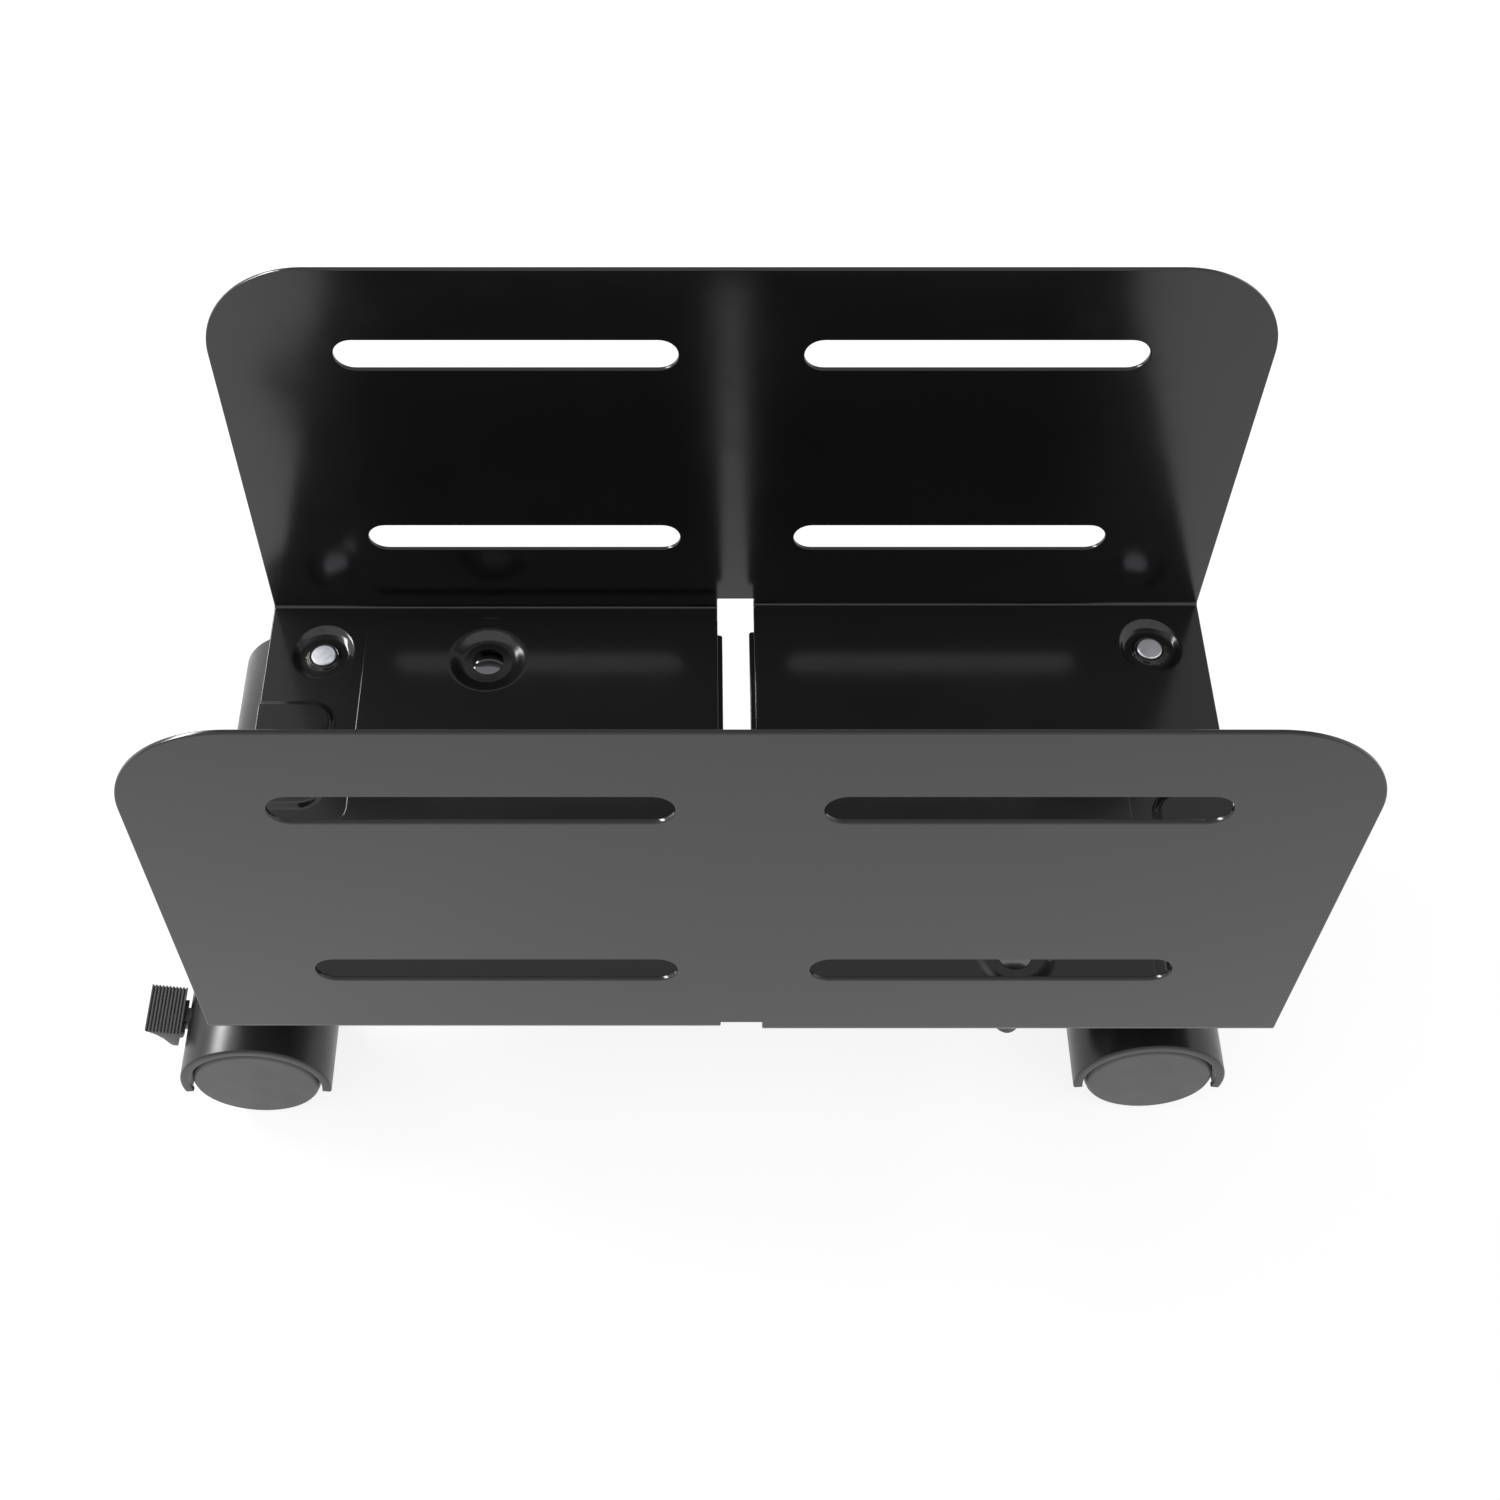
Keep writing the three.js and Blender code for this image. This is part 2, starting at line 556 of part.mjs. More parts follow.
const casters = [
  { name: "front_left", x: -UPPER_STEM.x, y: front + UPPER_STEM.y, flangeTop: UPPER_TOP, braked: true },
  { name: "front_right", x: LOWER_STEM.x, y: front + LOWER_STEM.y, flangeTop: DECK_HEIGHT, braked: false },
  { name: "rear_left", x: -LOWER_STEM.x, y: -front - LOWER_STEM.y, flangeTop: DECK_HEIGHT, braked: false },
  { name: "rear_right", x: UPPER_STEM.x, y: -front - UPPER_STEM.y, flangeTop: UPPER_TOP, braked: true },
];
casters.forEach(addCaster);

// The origin is on the floor under the middle of the stand's whole length, pedal included.
const reach = new THREE.Box3().setFromObject(stand, true);
stand.position.x = -(reach.min.x + reach.max.x) / 2;
const root = new THREE.Group();
root.add(stand);

export default root;
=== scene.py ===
# Looks of the rolling computer tower stand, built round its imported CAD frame. Sizes are in millimetres until
# a mesh is made. Every mesh is in metres, in the frame's own axes: +X along the walls, +Y to the rear, +Z up.
import math

import bmesh
import bpy
import numpy as np
from mathutils import Matrix, Vector
from mathutils.geometry import delaunay_2d_cdt


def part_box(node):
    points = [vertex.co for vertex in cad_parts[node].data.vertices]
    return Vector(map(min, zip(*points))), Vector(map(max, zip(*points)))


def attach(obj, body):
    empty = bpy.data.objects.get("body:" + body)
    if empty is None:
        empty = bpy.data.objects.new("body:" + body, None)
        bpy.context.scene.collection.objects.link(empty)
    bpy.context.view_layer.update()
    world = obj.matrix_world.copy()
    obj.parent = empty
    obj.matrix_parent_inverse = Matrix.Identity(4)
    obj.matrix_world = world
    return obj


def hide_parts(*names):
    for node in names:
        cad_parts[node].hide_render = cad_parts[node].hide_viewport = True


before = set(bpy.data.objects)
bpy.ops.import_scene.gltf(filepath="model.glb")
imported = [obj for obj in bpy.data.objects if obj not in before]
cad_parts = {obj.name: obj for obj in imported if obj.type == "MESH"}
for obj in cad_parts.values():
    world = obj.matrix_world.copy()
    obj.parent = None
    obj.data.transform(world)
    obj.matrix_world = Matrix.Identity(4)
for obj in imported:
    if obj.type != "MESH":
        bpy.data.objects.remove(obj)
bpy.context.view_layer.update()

MM = 0.001

# ---- plate dimensions, from each plate's own wall (y) and its middle (x) ----
SHEET = 1.5
EDGE_ROUND = 0.42
BEND_INNER = 1.0
DECK = 58.1  # top of the lower flanges
UPPER = 59.8  # top of the upper flanges
HALF_LENGTH = 160.0
WALL_TOP = 211.2
WALL_CORNER = 33.1
SLOT_START = 18.9
SLOT_END = 122.5
SLOT_RADIUS = 6.0
SLOT_HEIGHTS = (94.5, 177.6)
NOTCH_HALF = 6.2
NOTCH_TOP = 62.2
LOWER_EDGE = 4.55
RELIEF_DEPTH = 14.0
LOWER_ARM_REACH = 119.5
LOWER_ARM_INSET = 118.0
LOWER_REACH = 152.0
WIDE_REACH = 73.0
TONGUE_EDGE = 126.7
TONGUE_REACH = 156.5
TONGUE_FILLET = 5.5
PAD = {"x": 134.0, "y": 42.5, "length": 43.0, "corner": 8.5, "slope": 1.8, "rise": 1.5}
STEM_DIMPLE = {"rim": 10.4, "floor": 8.35, "depth": 2.0, "hole": 4.6, "back": 1.7, "lip": 0.9}
BOLT_DIMPLE = {"rim": 13.25, "floor": 8.65, "depth": 1.8, "hole": 4.3, "back": 0.0, "lip": 0.0}
TROUGH = {"x": 84.4, "floor": 9.3, "top": 14.0, "depth": 2.7, "slot": 3.6, "near": 20.7, "far": 105.7}
PRESSINGS = [
    (STEM_DIMPLE, -141.2, 20.7),
    (STEM_DIMPLE, 140.8, 22.2),
    (BOLT_DIMPLE, -TROUGH["x"], 138.8),
]

# ---- clamp dimensions ----
BOLT = {"head": 5.3, "dome": 1.3, "neck_half": 2.9, "neck": 1.7, "crest": 3.0, "root": 2.55, "pitch": 1.0}
CLAMP_WASHER = {"inner": 3.3, "outer": 11.0}
KNOB_GRIP = {"height": 12.5, "lobes": 8, "radius": 12.3, "lobe": 0.7}

# ---- caster dimensions ----
WHEEL_RADIUS = 20.0
HOOD_OUTER = 23.6
HOOD_INNER = 21.2
HOOD_LIP = 0.5
HOOD_HALF = 21.05
HOOD_DROP = 4.4  # the hood's lower edges below the axle
WEB_HALF = 5.5
SIDE_GAP = 0.5  # between the web and each wheel
WHEEL_WIDTH = HOOD_HALF - WEB_HALF - SIDE_GAP
FIT_GAP = 0.3
CAP_RADIUS = 19.6
CAP_INSET = 0.2
CAP_THICKNESS = 1.7
STEM = {"radius": 3.5, "end": 4.2, "proud": 1.6, "collar": 7.3, "collar_bottom": 50.3, "socket": 3.8}
BOSS_RADIUS = 8.5
SWIVEL_WASHER = {"inner": 3.8, "outer": 8.0}
AXLE = {"radius": 2.5, "bore": 2.8, "reach": 15.5}
LEVER_PIN = {"x": -26, "z": 23, "radius": 1.2, "bore": 1.5, "reach": 5.2}
LEVER_HALF = 8.15
SHOULDER_HALF = 5.8
TONGUE_HALF = 2.5


# ---- mesh helpers ----

def finish_mesh(name, bm, sharp_degrees=35):
    bmesh.ops.remove_doubles(bm, verts=bm.verts, dist=1e-7)
    bmesh.ops.recalc_face_normals(bm, faces=bm.faces)
    mesh = bpy.data.meshes.new(name)
    bm.to_mesh(mesh)
    bm.free()
    mesh.shade_smooth()
    mesh.set_sharp_from_angle(angle=math.radians(sharp_degrees))
    return mesh


def add_piece(name, mesh, body, material, replaced=(), place=None):
    """A piece in the frame's axes that rides on a body and stands for the CAD nodes in replaced."""
    piece = bpy.data.objects.new(name, mesh)
    bpy.context.scene.collection.objects.link(piece)
    if place is not None:
        piece.matrix_world = place
    if not mesh.materials:
        mesh.materials.append(material)
    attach(piece, body)
    if replaced:
        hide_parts(*replaced)
    return piece


def fillet(points, radius, steps=4, closed=True):
    """The same outline with each corner turned into an arc. A point may carry its own radius as a third."""
    made = []
    count = len(points)
    for i, point in enumerate(points):
        here = Vector(point[:2])
        size = point[2] if len(point) > 2 else radius
        if size <= 0 or (not closed and i in (0, count - 1)):
            made.append(tuple(here))
            continue
        before = Vector(points[i - 1][:2]) - here
        after = Vector(points[(i + 1) % count][:2]) - here
        turn = before.angle(after)
        if abs(math.pi - turn) < 1e-3:
            made.append(tuple(here))
            continue
        reach = min(size / math.tan(turn / 2), 0.49 * before.length, 0.49 * after.length)
        radius_used = reach * math.tan(turn / 2)
        inward = (before.normalized() + after.normalized()).normalized()
        middle = here + inward * (radius_used / math.sin(turn / 2))
        start = here + before.normalized() * reach - middle
        end = here + after.normalized() * reach - middle
        sweep = math.atan2(start.x * end.y - start.y * end.x, start.dot(end))
        for k in range(steps + 1):
            angle = sweep * k / steps
            c, s = math.cos(angle), math.sin(angle)
            made.append((middle.x + c * start.x - s * start.y, middle.y + s * start.x + c * start.y))
    return made


def arc(cx, cy, radius, start, end, steps):
    """Points on an arc, angles in degrees."""
    angles = [math.radians(start + (end - start) * k / steps) for k in range(steps + 1)]
    return [(cx + radius * math.cos(a), cy + radius * math.sin(a)) for a in angles]


def lathe(profile, segments=64, closed=True, sweep=360.0, start=0.0):
    """A profile of (radius, height) in mm turned about Z. An open profile starts and ends on the axis."""
    bm = bmesh.new()
    whole = sweep >= 360.0
    rings = []
    for k in range(segments if whole else segments + 1):
        angle = math.radians(start + sweep * k / segments)
        c, s = math.cos(angle), math.sin(angle)
        rings.append([bm.verts.new((r * c * MM, r * s * MM, h * MM)) for r, h in profile])
    count = len(profile)
    spans = count if closed else count - 1
    for k in range(segments):
        a = rings[k]
        b = rings[(k + 1) % len(rings)]
        for i in range(spans):
            j = (i + 1) % count
            bm.faces.new((a[i], b[i], b[j], a[j]))
    if not whole:
        bm.faces.new(rings[0])
        bm.faces.new(list(reversed(rings[-1])))
    bmesh.ops.remove_doubles(bm, verts=bm.verts, dist=1e-7)
    bmesh.ops.dissolve_degenerate(bm, dist=1e-8, edges=bm.edges)
    return bm


def turn_to_y(bm):
    """Turns a shape made about Z so that it lies about Y, its height along +Y."""
    bmesh.ops.rotate(bm, verts=bm.verts, cent=(0, 0, 0), matrix=Matrix.Rotation(-math.pi / 2, 3, "X"))
    return bm


def prism(outline, low, high, along="Z"):
    """A closed outline in mm raised from low to high along Z, or drawn in X and Z and raised along Y."""
    bm = bmesh.new()
    if along == "Z":
        place = [Vector((x, y, low)) * MM for x, y in outline]
        lift = Vector((0, 0, high - low)) * MM
    else:
        place = [Vector((x, low, y)) * MM for x, y in outline]
        lift = Vector((0, high - low, 0)) * MM
    face = bm.faces.new([bm.verts.new(p) for p in place])
    grown = bmesh.ops.extrude_face_region(bm, geom=[face])
    moved = [e for e in grown["geom"] if isinstance(e, bmesh.types.BMVert)]
    bmesh.ops.translate(bm, verts=moved, vec=lift)
    bmesh.ops.recalc_face_normals(bm, faces=bm.faces)
    return bm


def round_edges(bm, width, segments=3, degrees=40):
    """Rounds every edge sharper than that angle, in mm."""
    edges = [e for e in bm.edges if e.is_manifold and e.calc_face_angle() > math.radians(degrees)]
    bmesh.ops.bevel(
        bm, geom=edges, offset=width * MM, segments=segments, profile=0.5, affect="EDGES", clamp_overlap=True
    )
    return bm


def boolean(base, tool, operation):
    """base joined with or cut by tool, both bmeshes, as a new bmesh."""
    objects = []
    for label, bm in (("base", base), ("tool", tool)):
        mesh = bpy.data.meshes.new(label)
        bm.to_mesh(mesh)
        bm.free()
        made = bpy.data.objects.new(label, mesh)
        bpy.context.scene.collection.objects.link(made)
        objects.append(made)
    modifier = objects[0].modifiers.new("cut", "BOOLEAN")
    modifier.operation = operation
    modifier.solver = "EXACT"
    modifier.object = objects[1]
    bpy.context.view_layer.update()
    result = bpy.data.meshes.new_from_object(
        objects[0].evaluated_get(bpy.context.evaluated_depsgraph_get())
    )
    made = bmesh.new()
    made.from_mesh(result)
    for item in objects:
        mesh = item.data
        bpy.data.objects.remove(item)
        bpy.data.meshes.remove(mesh)
    bpy.data.meshes.remove(result)
    return made


def joined(*parts):
    """Several bmeshes as one, without a boolean."""
    whole = bmesh.new()
    for bm in parts:
        mesh = bpy.data.meshes.new("part")
        bm.to_mesh(mesh)
        bm.free()
        whole.from_mesh(mesh)
        bpy.data.meshes.remove(mesh)
    return whole


# ---- materials ----

class Nodes:
    """A new material with its Principled shader, and short ways to add nodes to it."""

    def __init__(self, name, color, roughness, metallic=0.0, specular=0.5):
        self.material = bpy.data.materials.new(name)
        self.material.use_nodes = True
        self.tree = self.material.node_tree
        self.shader = self.tree.nodes["Principled BSDF"]
        self.shader.inputs["Base Color"].default_value = (*color, 1)
        self.shader.inputs["Roughness"].default_value = roughness
        self.shader.inputs["Metallic"].default_value = metallic
        self.shader.inputs["Specular IOR Level"].default_value = specular
        self.place = self.tree.nodes.new("ShaderNodeTexCoord").outputs["Object"]

    def noise(self, scale, detail):
        node = self.tree.nodes.new("ShaderNodeTexNoise")
        node.inputs["Scale"].default_value = scale
        node.inputs["Detail"].default_value = detail
        self.tree.links.new(self.place, node.inputs["Vector"])
        return node.outputs["Fac"]

    def ramp(self, factor, low, high, value_low, value_high):
        node = self.tree.nodes.new("ShaderNodeMapRange")
        node.inputs["From Min"].default_value = low
        node.inputs["From Max"].default_value = high
        node.inputs["To Min"].default_value = value_low
        node.inputs["To Max"].default_value = value_high
        self.tree.links.new(factor, node.inputs["Value"])
        return node.outputs["Result"]

    def blend(self, factor, color_a, color_b):
        node = self.tree.nodes.new("ShaderNodeMix")
        node.data_type = "RGBA"
        node.inputs["A"].default_value = (*color_a, 1)
        node.inputs["B"].default_value = (*color_b, 1)
        self.tree.links.new(factor, node.inputs["Factor"])
        return node.outputs["Result"]

    def bump(self, height, strength, distance_mm):
        node = self.tree.nodes.new("ShaderNodeBump")
        node.inputs["Strength"].default_value = strength
        node.inputs["Distance"].default_value = distance_mm * MM
        self.tree.links.new(height, node.inputs["Height"])
        return node.outputs["Normal"]

    def set(self, socket, output):
        self.tree.links.new(output, self.shader.inputs[socket])


def powder_coat():
    """Satin black powder coat: a fine orange-peel skin with small changes of gloss."""
    n = Nodes("black_powder_coat", (0.007, 0.007, 0.0071), 0.17, specular=0.61)
    n.set("Base Color", n.blend(n.noise(14, 4), (0.006, 0.006, 0.0061), (0.008, 0.008, 0.0081)))
    n.set("Roughness", n.ramp(n.noise(60, 4), 0.3, 0.7, 0.15, 0.19))
    n.set("Normal", n.bump(n.noise(700, 1), 0.1, 0.03))
    return n.material


def moulded(name, color, roughness, grain=1800, strength=0.3):
    """Moulded plastic with a fine spark-eroded grain."""
    spread = 0.04
    n = Nodes(name, color, roughness)
    lighter = tuple(c * 1.15 for c in color)
    darker = tuple(c * 0.88 for c in color)
    n.set("Base Color", n.blend(n.noise(25, 4), darker, lighter))
    n.set("Roughness", n.ramp(n.noise(120, 4), 0.3, 0.7, roughness - spread, roughness + spread))
    n.set("Normal", n.bump(n.noise(grain, 3), strength, 0.03))
    return n.material


def zinc():
    """Zinc plate: bright, slightly blue, with a spangle and fine turning marks."""
    n = Nodes("zinc_steel", (0.76, 0.76, 0.82), 0.45, metallic=1.0)
    n.set("Base Color", n.blend(n.noise(300, 3), (0.72, 0.72, 0.79), (0.8, 0.8, 0.85)))
    n.set("Roughness", n.ramp(n.noise(500, 3), 0.3, 0.7, 0.42, 0.5))
    n.set("Normal", n.bump(n.noise(900, 2), 0.12, 0.02))
    return n.material


def black_chrome():
    """Polished black-nickel plating on the carriage bolts."""
    n = Nodes("black_chrome", (0.13, 0.13, 0.135), 0.08, metallic=1.0)
    n.set("Roughness", n.ramp(n.noise(600, 4), 0.3, 0.7, 0.05, 0.12))
    n.set("Normal", n.bump(n.noise(1500, 2), 0.06, 0.02))
    return n.material


COAT = powder_coat()
HOOD = moulded("hood_plastic", (0.01, 0.01, 0.0104), 0.3, grain=1100, strength=0.12)
WHEEL = moulded("wheel_plastic", (0.02, 0.02, 0.0205), 0.45)
CAP = moulded("cap_plastic", (0.055, 0.055, 0.055), 0.45, strength=0.15)
KNOB = moulded("knob_plastic", (0.014, 0.014, 0.0145), 0.4)
LEVER = moulded("lever_plastic", (0.06, 0.06, 0.06), 0.4, strength=0.15)
ZINC = zinc()
CHROME = black_chrome()


# ---- plates: one pressed sheet each, unrolled flat, cut to its outline, then folded and pressed ----

FOLD_START = 62.0  # the sheet is flat wall above this height
FOLD_ARC = BEND_INNER * math.pi / 2
FLANGE_START = SHEET + BEND_INNER  # where the flange is flat again, from the wall's outer face


def level(x):
    """Top of the flange on that side of the plate: the upper flange is at x < 0."""
    return UPPER if x < 0 else DECK


def unroll(x, y):
    """A flange point's place on the unrolled sheet, where the wall is above 0 and the flange below."""
    straight = FOLD_START - level(x) - BEND_INNER
    return (x, -(straight + FOLD_ARC + y - FLANGE_START))


def smooth(t):
    """An even step from 0 to 1 as t goes from 0 to 1."""
    t = min(max(t, 0.0), 1.0)
    return t * t * (3 - 2 * t)


def rounded_box_distance(x, y, cx, cy, half_x, half_y, radius):
    dx = max(abs(x - cx) - half_x + radius, 0)
    dy = max(abs(y - cy) - half_y + radius, 0)
    depth = min(max(abs(x - cx) - half_x, abs(y - cy) - half_y), 0)
    return math.hypot(dx, dy) - radius if dx or dy else depth


def dimple_distance(size, dx, dy):
    """Distance from a dimple's axis. Its rim reaches further towards the wall than its floor, by back."""
    away = math.hypot(dx, dy)
    slope = min(max((away - size["floor"]) / (size["rim"] - size["floor"]), 0.0), 1.0)
    return away - slope * size["back"] * max(-dy / away, 0.0) ** 2 if away else 0.0


def pressed_height(x, y):
    """How far the sheet is pressed up or down at a flange point."""
    height = 0.0
    for size, cx, cy in PRESSINGS:
        away = dimple_distance(size, x - cx, y - cy)
        height -= size["depth"] * smooth((size["rim"] + 0.4 - away) / (size["rim"] - size["floor"] + 0.8))
        height += size["lip"] * smooth((size["hole"] + 1.3 - away) / 0.7)
    if x > 0:
        reach = 60.0  # the pad runs off the plate's end
        half = PAD["length"] / 2
        distance = rounded_box_distance(x, y, PAD["x"] + reach, PAD["y"] + half, reach, half, PAD["corner"])
        height += PAD["rise"] * smooth((0.3 - distance) / (PAD["slope"] + 0.6))
        run = min(max(y, TROUGH["near"]), TROUGH["far"])
        away = math.hypot(x - TROUGH["x"], y - run)
        slope = TROUGH["top"] - TROUGH["floor"]
        height -= TROUGH["depth"] * smooth((TROUGH["top"] + 0.4 - away) / (slope + 0.8))
    return height


def fold(x, v):
    """A point of the unrolled sheet in the plate's own axes: its inner and top face."""
    if v >= 0:
        return (x, SHEET, FOLD_START + v)
    down = -v
    top = level(x)
    straight = FOLD_START - top - BEND_INNER
    if down <= straight:
        return (x, SHEET, FOLD_START - down)
    if down <= straight + FOLD_ARC:
        angle = (down - straight) / BEND_INNER
        return (x, FLANGE_START - BEND_INNER * math.cos(angle), top + BEND_INNER * (1 - math.sin(angle)))
    y = FLANGE_START + down - straight - FOLD_ARC
    return (x, y, top + pressed_height(x, y))


def obround(cx0, cy0, cx1, cy1, radius, steps):
    """A slot with round ends, from one end's centre to the other's."""
    along = math.degrees(math.atan2(cy1 - cy0, cx1 - cx0))
    far_end = arc(cx1, cy1, radius, along - 90, along + 90, steps)
    return far_end + arc(cx0, cy0, radius, along + 90, along + 270, steps)


def trough_ring(radius, steps):
    """A line round the guide trough, on the unrolled sheet."""
    ring = obround(TROUGH["x"], TROUGH["near"], TROUGH["x"], TROUGH["far"], radius, steps)
    return [unroll(*p) for p in ring]


def plate_outline():
    """The unrolled plate's edge, once round."""
    upper = [
        (-HALF_LENGTH, FLANGE_START, 0),
        (-HALF_LENGTH, WIDE_REACH, 2.0),
        (-TONGUE_EDGE, WIDE_REACH, TONGUE_FILLET),
        (-TONGUE_EDGE, TONGUE_REACH, TONGUE_FILLET),
        (-NOTCH_HALF, TONGUE_REACH, 1.0),
        (-NOTCH_HALF, FLANGE_START, 0),
    ]
    lower = [
        (NOTCH_HALF, FLANGE_START, 0),
        (NOTCH_HALF, RELIEF_DEPTH, 0.8),
        (LOWER_EDGE, RELIEF_DEPTH, 0.8),
        (LOWER_EDGE, LOWER_REACH, 1.0),
        (LOWER_ARM_INSET, LOWER_REACH, 6.0),
        (LOWER_ARM_INSET, LOWER_ARM_REACH, 0.8),
        (HALF_LENGTH, LOWER_ARM_REACH, 6.0),
        (HALF_LENGTH, FLANGE_START, 0),
    ]
    edge = [unroll(x, y) for x, y in fillet(upper, 0, 8, closed=False)]
    notch = NOTCH_TOP - FOLD_START
    edge += [(-NOTCH_HALF, notch), (NOTCH_HALF, notch)]
    edge += [unroll(x, y) for x, y in fillet(lower, 0, 8, closed=False)]
    top = WALL_TOP - FOLD_START
    edge += arc(HALF_LENGTH - WALL_CORNER, top - WALL_CORNER, WALL_CORNER, 0, 90, 28)
    edge += arc(-HALF_LENGTH + WALL_CORNER, top - WALL_CORNER, WALL_CORNER, 90, 180, 28)
    return edge


def plate_holes():
    """The wall's slots, the stems' and bolt's holes and the guide slot, on the unrolled sheet."""
    holes = []
    for height in SLOT_HEIGHTS:
        for side in (-1, 1):
            near = side * (SLOT_START + SLOT_RADIUS)
            far = side * (SLOT_END - SLOT_RADIUS)
            v = height - FOLD_START
            holes.append(obround(min(near, far), v, max(near, far), v, SLOT_RADIUS, 14))
    for size, x, y in PRESSINGS:
        holes.append([unroll(*p) for p in arc(x, y, size["hole"], 0, 360, 48)[:-1]])
    holes.append(trough_ring(TROUGH["slot"], 14))
    return holes


def guide_loops():
    """Closed lines that the mesh follows, so that each pressing has even rows of faces."""
    loops = []
    for size, x, y in PRESSINGS:
        span = size["rim"] - size["floor"] + 1.0
        radii = [size["hole"] + 0.6 + 0.7 * k / 3 for k in range(4)]
        radii += [size["floor"] - 0.8] + [size["floor"] - 0.5 + span * k / 8 for k in range(9)]
        radii += [size["rim"] + 0.8, size["rim"] + 1.3]
        for radius in radii:
            slope = min(max((radius - size["floor"]) / (size["rim"] - size["floor"]), 0.0), 1.0)
            loop = []
            for k in range(72):
                angle = math.radians(5 * k)
                away = radius + slope * size["back"] * max(-math.sin(angle), 0.0) ** 2
                loop.append(unroll(x + away * math.cos(angle), y + away * math.sin(angle)))
            loops.append(loop)
    slope = TROUGH["top"] - TROUGH["floor"] + 0.8
    offsets = [TROUGH["slot"] + 0.9, TROUGH["floor"] - 0.7]
    offsets += [TROUGH["floor"] - 0.4 + slope * k / 7 for k in range(8)] + [TROUGH["top"] + 0.8]
    loops += [trough_ring(radius, 24) for radius in offsets]
    return loops


def guide_lines():
    """Open lines across the sheet: the rows of the bend, and the raised pad's slope up to the plate's end."""
    lines = []
    for x0, x1 in ((-HALF_LENGTH - 1, -NOTCH_HALF + 1), (NOTCH_HALF - 1, HALF_LENGTH + 1)):
        straight = FOLD_START - level(x0) - BEND_INNER
        rows = [-straight - FOLD_ARC * k / 6 for k in range(7)]
        rows += [-straight + 0.3, -straight - FOLD_ARC - 0.3]
        lines += [[(x0, v), (x1, v)] for v in rows]
    lines.append([(-HALF_LENGTH - 1, 0.6), (HALF_LENGTH + 1, 0.6)])
    for k in range(-1, 8):
        inset = -0.3 + (PAD["slope"] + 0.6) * k / 6
        radius = max(PAD["corner"] - inset, 0.5)
        left = PAD["x"] + inset
        low = PAD["y"] + inset
        high = PAD["y"] + PAD["length"] - inset
        corner = [(HALF_LENGTH + 1, high)]
        corner += arc(left + radius, high - radius, radius, 90, 180, 10)
        corner += arc(left + radius, low + radius, radius, 180, 270, 10)
        corner += [(HALF_LENGTH + 1, low)]
        lines.append([unroll(*p) for p in corner])
    return lines


def anticlockwise(loop):
    """The same loop, or its reverse where that is what runs anticlockwise."""
    turned = sum(x0 * y1 - x1 * y0 for (x0, y0), (x1, y1) in zip(loop, loop[1:] + loop[:1]))
    return loop if turned > 0 else loop[::-1]


def inside(points, loop):
    """Which of the points lie inside a closed loop."""
    xs, ys = points[:, 0], points[:, 1]
    hit = np.zeros(len(points), bool)
    for (x0, y0), (x1, y1) in zip(loop, loop[1:] + loop[:1]):
        if y0 == y1:
            continue
        crosses = (ys < y0) != (ys < y1)
        hit ^= crosses & (xs < (x1 - x0) * (ys - y0) / (y1 - y0) + x0)
    return hit


def miter(before, after):
    """The move that stays at an even distance to the left of two edges that follow each other."""
    a = Vector((-before[1], before[0])).normalized()
    b = Vector((-after[1], after[0])).normalized()
    middle = (a + b).normalized()
    return middle / max(middle.dot(a), 0.4)


def shifted(loop, distance):
    """A closed loop moved to its left."""
    made = []
    for i, point in enumerate(loop):
        here = Vector(point)
        move = miter(here - Vector(loop[i - 1]), Vector(loop[(i + 1) % len(loop)]) - here)
        made.append(tuple(here + move * distance))
    return made


def skin(x, v, depth):
    """A point of the folded sheet at a depth below its inner and top face."""
    step = 0.01
    along_x = Vector(fold(x + step, v)) - Vector(fold(x - step, v))
    along_v = Vector(fold(x, v + step)) - Vector(fold(x, v - step))
    return (Vector(fold(x, v)) - along_v.cross(along_x).normalized() * depth) * MM


def flat_triangles(outline, holes):
    """The unrolled sheet as points and triangles that turn anticlockwise."""
    verts, edges = [], []

    def add_line(points, closed):
        first = len(verts)
        verts.extend(Vector(p) for p in points)
        last = len(points) if closed else len(points) - 1
        edges.extend((first + i, first + (i + 1) % len(points)) for i in range(last))

    for loop in [outline, *holes, *guide_loops()]:
        add_line(loop, True)
    for line in guide_lines():
        add_line(line, False)
    flat, _, triangles, *_ = delaunay_2d_cdt(verts, edges, [], 0, 1e-5)
    flat = np.array([tuple(p) for p in flat])
    triangles = np.array(triangles)
    centres = flat[triangles].mean(axis=1)
    keep = inside(centres, outline)
    for hole in holes:
        keep &= ~inside(centres, hole)
    return flat, [tuple(int(i) for i in t) for t in triangles[keep]]


def border(triangles):
    """Each point on the sheet's edge with the one before it and the one after it."""
    directed = {(t[k], t[(k + 1) % 3]) for t in triangles for k in range(3)}
    after = {a: b for a, b in directed if (b, a) not in directed}
    before = {b: a for a, b in after.items()}
    return {here: (before[here], after[here]) for here in after}


